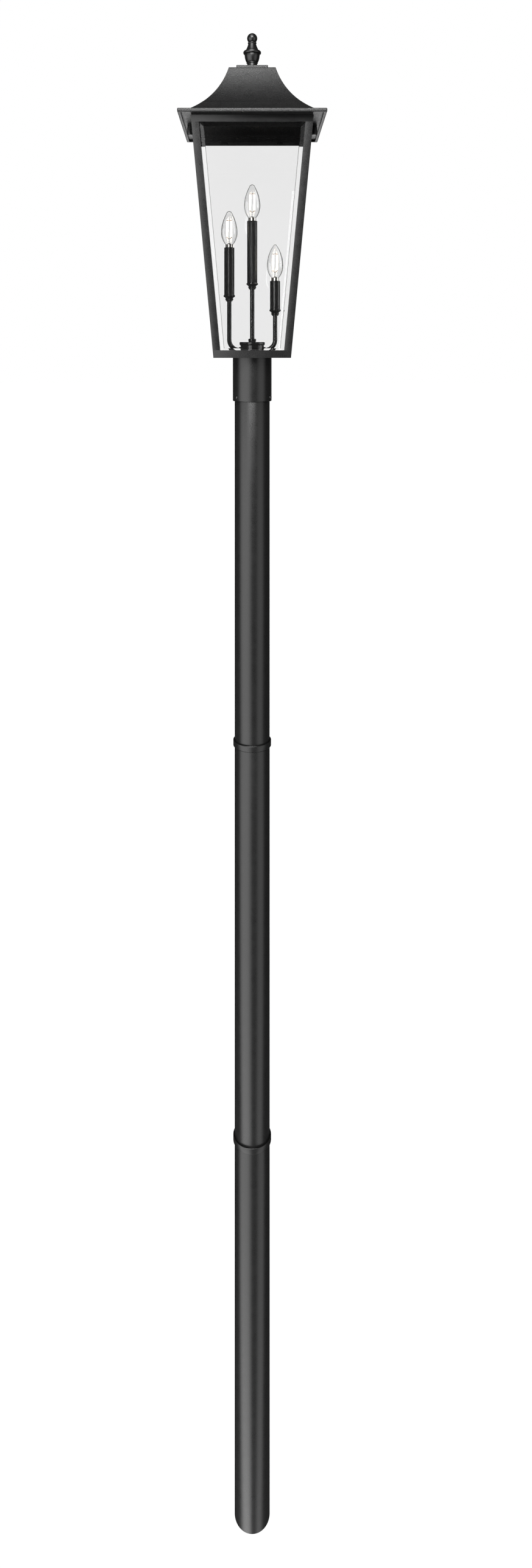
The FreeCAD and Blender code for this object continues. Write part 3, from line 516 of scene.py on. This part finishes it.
def smooth(piece):
    """Shades a piece smooth, apart from its sharp edges."""
    pick(piece)
    bpy.ops.object.shade_smooth_by_angle(angle=math.radians(SMOOTH_ANGLE))


def settle(piece, finish, *nodes):
    """Smooths and coats a piece, and lets it stand for its CAD nodes."""
    smooth(piece)
    coat(piece, finish)
    stand_for(piece, *nodes)


def stand_for(piece, *nodes):
    """Lets a piece move with the body of its CAD nodes and take their place."""
    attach(piece, body_of[nodes[0]])
    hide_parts(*nodes)


def rod(name, start, end, radius, sides):
    """Straight round rod between two places, with eased ends."""
    first = Vector(start)
    last = Vector(end)
    bare()
    bpy.ops.mesh.primitive_cylinder_add(vertices=sides, radius=radius, depth=(last - first).length,
                                        location=(first + last) / 2,
                                        rotation=(last - first).to_track_quat("Z", "Y").to_euler())
    piece = bpy.context.object
    piece.name = name
    bpy.ops.object.transform_apply(location=True, rotation=True, scale=True)
    soften(piece, radius * ROD_EDGE_SHARE, 2, HIP_ANGLE)
    return piece


def joined(name, pieces):
    """Several pieces made one."""
    pick(pieces[0])
    for piece in pieces[1:]:
        piece.select_set(True)
    bpy.ops.object.join()
    pieces[0].name = name
    return pieces[0]


def again(pattern, name, place):
    """A copy of a piece with its own mesh, at another place."""
    twin = pattern.copy()
    twin.data = pattern.data.copy()
    twin.name = name
    bpy.context.scene.collection.objects.link(twin)
    pick(twin)
    twin.location = place
    bpy.ops.object.transform_apply(location=True)
    return twin


def middle_of(node):
    """Place of a round upright node on the plan, and its lowest and highest points."""
    low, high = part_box(node)
    return ((low.x + high.x) / 2, (low.y + high.y) / 2), low.z, high.z


# Post

def post_length(node):
    """One length of the post: a tube with eased ends."""
    _, bottom, top = middle_of(node)
    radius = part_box(node)[1].x
    bore = radius - POST_WALL
    outline = [(radius, bottom), (radius, top), (bore, top), (bore, bottom), (radius, bottom)]
    piece = turned(node + "_tube", outline, POST_SIDES, closed=True)
    soften(piece, TUBE_EDGE)
    settle(piece, POST_COAT, node)


def coupling(node, length_below, length_above):
    """Ring with a lip, a groove and a chamfer, and spigots into both lengths."""
    _, bottom, top = middle_of(node)
    ring_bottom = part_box(length_below)[1].z
    ring_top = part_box(length_above)[0].z
    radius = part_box(node)[1].x
    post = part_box(length_below)[1].x
    spigot = post - POST_WALL - SPIGOT_CLEARANCE
    bore = spigot - SPIGOT_WALL
    groove = post + COUPLING_GROOVE_WIDTH
    outline = [(radius - COUPLING_CHAMFER, ring_bottom), (radius, ring_bottom + COUPLING_CHAMFER)]
    outline += [(radius, ring_top - COUPLING_LIP)]
    outline += bowed(outline[-1], (radius - COUPLING_LIP, ring_top), COUPLING_LIP * QUARTER_BOW, 4)
    outline += [(groove, ring_top), (groove, ring_top - COUPLING_GROOVE_DEPTH)]
    outline += [(post, ring_top - COUPLING_GROOVE_DEPTH), (post, ring_top), (spigot, ring_top), (spigot, top)]
    outline += [(bore, top), (bore, bottom), (spigot, bottom), (spigot, ring_bottom)]
    outline += [outline[0]]
    piece = turned(node + "_casting", outline, POST_SIDES, closed=True)
    soften(piece, COUPLING_EDGE, 2, COUPLING_EDGE_ANGLE)
    settle(piece, POST_COAT, node)


def fitter():
    """Tube that clamps on the post's top."""
    _, bottom, top = middle_of("fitter_tube")
    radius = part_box("fitter_tube")[1].x
    outline = [(FITTER_BORE, bottom), (radius - FITTER_EDGE, bottom)]
    outline += bowed(outline[-1], (radius, bottom + FITTER_EDGE), FITTER_EDGE * QUARTER_BOW, 6)
    outline += [(radius, top), (FITTER_BORE, top), (FITTER_BORE, bottom)]
    piece = turned("fitter_sleeve", outline, POST_SIDES, closed=True)
    settle(piece, POST_COAT, "fitter_tube")


# Cage

def stile(node):
    """Corner bar with eased edges along its length."""
    piece = copy_of(node)
    round_edges(piece, CAGE_EDGE, lambda first, last: abs(first.z - last.z) > LONG_EDGE)
    settle(piece, CAGE_COAT, node)


def rail(node, finish, reach):
    """Square rail with its four outer corners eased. The reach tells them from the inner ones."""
    low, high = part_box(node)
    piece = copy_of(node)

    def wanted(first, last):
        upright = abs(first.z - last.z) > (high.z - low.z) * RAIL_EDGE_SHARE
        return upright and abs(first.x) > high.x - reach
    round_edges(piece, CAGE_EDGE, wanted)
    settle(piece, finish, node)


def front_pane():
    """Bevelled pane with a thin strip of dark glass along the inner edge of each side bevel: a painted dark
    line that stands in for the shade the bevel's edge shows.
    """
    glass = copy_of("glass_front")
    coat(glass, PANE_GLASS, PANE_EDGE_SHADE)
    proud = min(point.co.y + point.co.z * PANE_LEAN for point in glass.data.vertices)

    def wanted(first, last):
        outer = all(point.y + point.z * PANE_LEAN < proud + ARRIS_WIDTH for point in (first, last))
        return outer and abs(first.z - last.z) > LONG_EDGE
    # The strips take the second finish, the dark glass of painted shade
    round_edges(glass, ARRIS_WIDTH, wanted, 1, 1)
    stand_for(glass, "glass_front")


# Roof

def square_ring(name, outline):
    """A closed ring, square on the plan, from an outline of (half width, height)."""
    corner = math.sqrt(2)
    outline = [(half * corner, height) for half, height in outline]
    return turned(name, outline + [outline[0]], 4, closed=True, twist=45.0)


def eave():
    """Eave with its rim's lower edge rolled under."""
    low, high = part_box("eave_plate")
    core = high.x - EAVE_CORNER
    rim = copy_of("eave_plate", False)
    bpy.ops.object.mode_set(mode="EDIT")
    for step in EAVE_ROLL_STEPS:
        bpy.ops.mesh.select_all(action="SELECT")
        bpy.ops.mesh.bisect(plane_co=(0, 0, low.z + EAVE_ROLL * step), plane_no=(0, 0, 1))
    bpy.ops.object.mode_set(mode="OBJECT")
    for point in rim.data.vertices:
        centre = Vector((max(-core, min(core, point.co.x)), max(-core, min(core, point.co.y)), point.co.z))
        out = point.co - centre
        share = 1.0 - (point.co.z - low.z) / EAVE_ROLL
        if share > 0 and out.length > EAVE_CORNER - ARRIS_WIDTH:
            point.co = centre + out * (1.0 - EAVE_ROLL / EAVE_CORNER * (1.0 - math.sqrt(1.0 - share * share)))
    settle(rim, ROOF_COAT, "eave_plate")


def bell():
    """Bell of bent sheet with four eased hips."""
    _, bottom, top = middle_of("bell_roof")
    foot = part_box("bell_roof")[1].x
    outside = [(foot, bottom)] + bowed((foot, bottom), (BELL_CROWN_HALF, top), BELL_BOW, BELL_RINGS)
    inside = [(foot - BELL_FOOT_WALL, bottom)]
    inside += bowed(inside[0], (BELL_CROWN_HALF - BELL_WALL, top - BELL_WALL), BELL_BOW, BELL_RINGS)
    hole = [(BOLT_HOLE, top), (BOLT_HOLE, top - BELL_WALL)]
    piece = square_ring("bell_sheet", outside + hole + inside[::-1])
    soften(piece, BELL_HIP_ROUNDING, 4, HIP_ANGLE)
    settle(piece, ROOF_COAT, "bell_roof")


# Lamps

def ridges(bottom):
    """Outline of the rolled screw shell, ridge by ridge."""
    outline = []
    for step in range(RIDGES):
        start = bottom + step * RIDGE_PITCH
        outline += [(SHELL_RADIUS - RIDGE_DEPTH * sunk, start + RIDGE_PITCH * along)
                    for along, sunk in RIDGE_SHAPE]
    return outline


def cap_mould():
    """Screw cap of a lamp, with its collar and its contact, below the foot of the glass."""
    shell_bottom = -COLLAR_HEIGHT - SHELL_LENGTH
    outline = [(CAP_POLE, shell_bottom), (CONTACT_RADIUS, shell_bottom)]
    outline += [(SHELL_RADIUS - RIDGE_DEPTH, shell_bottom + SHELL_FOOT)]
    outline += ridges(shell_bottom + SHELL_FOOT)
    outline += [(SHELL_RADIUS - RIDGE_DEPTH, -COLLAR_HEIGHT)]
    outline += [(COLLAR_RADIUS - CAP_EDGE, -COLLAR_HEIGHT), (COLLAR_RADIUS, CAP_EDGE - COLLAR_HEIGHT)]
    outline += [(COLLAR_RADIUS, -CAP_EDGE), (COLLAR_RADIUS - CAP_EDGE, 0), (CAP_POLE, 0)]
    cap = turned("cap_mould", outline, CAP_SIDES)
    tip = shell_bottom - CONTACT_HEIGHT
    outline = [(CONTACT_RADIUS * wide, tip + CONTACT_HEIGHT * high) for wide, high in CONTACT_TIP]
    contact = turned("contact_mould", outline + [(CONTACT_RADIUS, shell_bottom)], STEM_SIDES)
    return joined("cap_mould", [cap, contact])


def stem_mould():
    """Flared glass stem that carries the wires."""
    outline = [(STEM_FOOT, 0)] + bowed((STEM_FOOT, 0), (STEM_ROD, STEM_FLARE), STEM_FLARE_BOW, 8)
    outline += [(STEM_ROD, STEM_TOP - STEM_ROD)]
    outline += bowed(outline[-1], (STEM_ROD * STEM_TIP_SHARE, STEM_TOP), STEM_ROD * QUARTER_BOW, 6)
    return turned("stem_mould", outline, STEM_SIDES)


def filament_moulds():
    """Four upright filaments, and the wires and tags that carry them."""
    coating = []
    wires = []
    end = FILAMENT_START + FILAMENT_LENGTH
    for side_x in (-1, 1):
        for side_y in (-1, 1):
            x = side_x * FILAMENT_SPREAD_X
            y = side_y * FILAMENT_SPREAD_Y
            coating.append(rod("strand", (x, y, FILAMENT_START), (x, y, end), FILAMENT_RADIUS, ROD_SIDES))
            knee = (x * WIRE_KNEE_SPREAD, y * WIRE_KNEE_SPREAD, FILAMENT_START - WIRE_KNEE)
            low_tag = (x, y, FILAMENT_START - TAG_LENGTH)
            high_tag = (x, y, end + TAG_LENGTH)
            runs = (((0, 0, STEM_TOP - STEM_ROD), knee, WIRE_RADIUS), (knee, low_tag, WIRE_RADIUS),
                    (low_tag, (x, y, FILAMENT_START), TAG_RADIUS), ((x, y, end), high_tag, TAG_RADIUS),
                    (high_tag, (0, 0, end + WIRE_KNEE), WIRE_RADIUS))
            wires += [rod("wire", start, stop, radius, WIRE_SIDES) for start, stop, radius in runs]
    return joined("strand_mould", coating), joined("wire_mould", wires)


def lamps():
    """Three candle lamps from the same moulds."""
    cap = cap_mould()
    stem = stem_mould()
    strands, wires = filament_moulds()
    moulds = ((cap, NICKEL, "lamp_base_", "cap"), (stem, BULB_GLASS, "lamp_core_", "stem"),
              (strands, FILAMENT, "lamp_core_", "filaments"), (wires, HOT_WIRE, "lamp_core_", "wires"))
    for side in ("left", "middle", "right"):
        place, foot, _ = middle_of("lamp_glass_" + side)
        for mould, finish, family, word in moulds:
            piece = again(mould, "lamp_" + side + "_" + word, (place[0], place[1], foot))
            settle(piece, finish, family + side)
    for mould, _, _, _ in moulds:
        bpy.data.objects.remove(mould)


# Stage, lights and camera

def floor():
    """Plain pale floor."""
    bare()
    bpy.ops.mesh.primitive_plane_add(size=FLOOR_SIZE, location=(0, 0, 0))
    ground = bpy.context.object
    ground.name = "studio_floor"
    paper = Finish("studio_paper", {"Base Color": grey(PAPER_SHADE), "Roughness": 1.0,
                                    "Specular IOR Level": 0.0, "Emission Strength": 1.0})
    paper.feed("Emission Color", paper.blend(paper.straight(), grey(PAPER_GLOW), grey(1)))
    ground.data.materials.append(paper.material)
    ground.visible_glossy = False
    ground.visible_shadow = False


def facing(azimuth, elevation):
    """Direction from the lantern: degrees to the right of the camera, and degrees up."""
    turn = math.radians(azimuth)
    rise = math.radians(elevation)
    return (math.sin(turn) * math.cos(rise), -math.cos(turn) * math.cos(rise), math.sin(rise))


class Studio(Board):
    """White backdrop for the eye, and soft lights all round for the surfaces."""

    def __init__(self, world):
        super().__init__(world)
        self.ray = self.add("ShaderNodeTexCoord", output="Generated")
        level = self.add("ShaderNodeVectorMath", {"operation": "MULTIPLY"}, {0: self.ray, 1: (1, 1, 0)})
        self.level_ray = self.add("ShaderNodeVectorMath", {"operation": "NORMALIZE"}, {0: level})
        self.rise = self.add("ShaderNodeSeparateXYZ", inputs={0: self.ray}, output="Z")

    def eased(self, value, start, end):
        """Goes softly from 0 at the start to 1 at the end."""
        return self.add("ShaderNodeMapRange", {"interpolation_type": "SMOOTHSTEP"},
                        {"Value": value, "From Min": start, "From Max": end})

    def near(self, ray, direction, core, edge):
        """1 within the core angle of a direction, and softly down to 0 at the edge angle."""
        closeness = self.add("ShaderNodeVectorMath", {"operation": "DOT_PRODUCT"},
                             {0: ray, 1: direction}, output="Value")
        return self.eased(closeness, math.cos(math.radians(edge)), math.cos(math.radians(core)))

    def upright(self, azimuth, core, edge, strength):
        """Light that stands at an azimuth and reaches all heights."""
        return self.near(self.level_ray, facing(azimuth, 0), core, edge) * strength

    def patch(self, azimuth, elevation, core, edge):
        """Round patch of the room."""
        return self.near(self.ray, facing(azimuth, elevation), core, edge)

    def above(self, start, end):
        """Goes softly from 0 at one elevation to 1 at another."""
        return self.eased(self.rise, math.sin(math.radians(start)), math.sin(math.radians(end)))

    def below(self, start, end):
        """Goes softly from 1 at one elevation to 0 at another."""
        return 1.0 - self.above(start, end)


def studio():
    """Soft lights at the sides, in front, behind and above. What is seen through glass has its own."""
    world = bpy.data.worlds.new("studio")
    bpy.context.scene.world = world
    room = Studio(world)
    sides = room.below(*SIDES_FADE) * (room.upright(*LEFT_LIGHT) + room.upright(*RIGHT_LIGHT))
    ground = room.below(*GROUND_FADE) * room.upright(*GROUND_LIGHT)
    patch = room.patch(*CROWN_PATCH)
    crown = room.above(*CROWN_RISE) * patch * patch * room.upright(*CROWN_LIGHT)
    front = room.above(*FRONT_RISE) * room.below(*FRONT_FADE) * room.upright(*FRONT_LIGHT)
    front = front * (1.0 - room.patch(*PANE_GAP))
    back = room.above(*BACK_RISE) * room.below(*BACK_FADE) * room.upright(*BACK_LIGHT)
    candles = room.upright(*CANDLE_LEFT_LIGHT) + room.upright(*CANDLE_RIGHT_LIGHT)
    inside = room.behind_glass()
    glow = (sides + ground + crown + front + back) * (1.0 - inside) + candles * inside + ROOM_GLOW
    shade = room.blend(room.straight(), glow, grey(1))
    room.tree.links.new(shade.socket, room.tree.nodes["Background"].inputs["Color"])


def camera():
    """Level camera at the photograph's place, shifted down to take in the post."""
    data = bpy.data.cameras.new("view")
    data.sensor_width = SENSOR_SIZE
    data.lens = FOCAL_PIXELS / FRAME_HEIGHT * SENSOR_SIZE
    data.shift_x = (FRAME_WIDTH / 2 - AXIS_COLUMN) / FRAME_HEIGHT
    data.shift_y = (HORIZON_ROW - FRAME_HEIGHT / 2) / FRAME_HEIGHT
    eye = bpy.data.objects.new("view", data)
    bpy.context.scene.collection.objects.link(eye)
    eye.location = (0, -CAMERA_DISTANCE, CAMERA_HEIGHT)
    eye.rotation_euler = (math.radians(90), 0, 0)
    bpy.context.scene.camera = eye
    bpy.context.scene.view_settings.view_transform = "Standard"


for name, node in frame["nodes"].items():
    finish = NODE_FINISHES[slot_of[name]]
    for family, special in FAMILY_FINISHES.items():
        if name.startswith(family):
            finish = special
    coat(node, finish)

for length in ("post_lower", "post_middle", "post_upper"):
    post_length(length)
coupling("coupling_lower", "post_lower", "post_middle")
coupling("coupling_upper", "post_middle", "post_upper")
fitter()
for corner in ("front_left", "front_right", "back_left", "back_right"):
    stile("stile_" + corner)
rail("bottom_rail", CAGE_COAT, BOTTOM_RAIL_CORNER)
rail("top_rail", RAIL_COAT, TOP_RAIL_CORNER)
front_pane()
eave()
bell()
lamps()
floor()
studio()
camera()
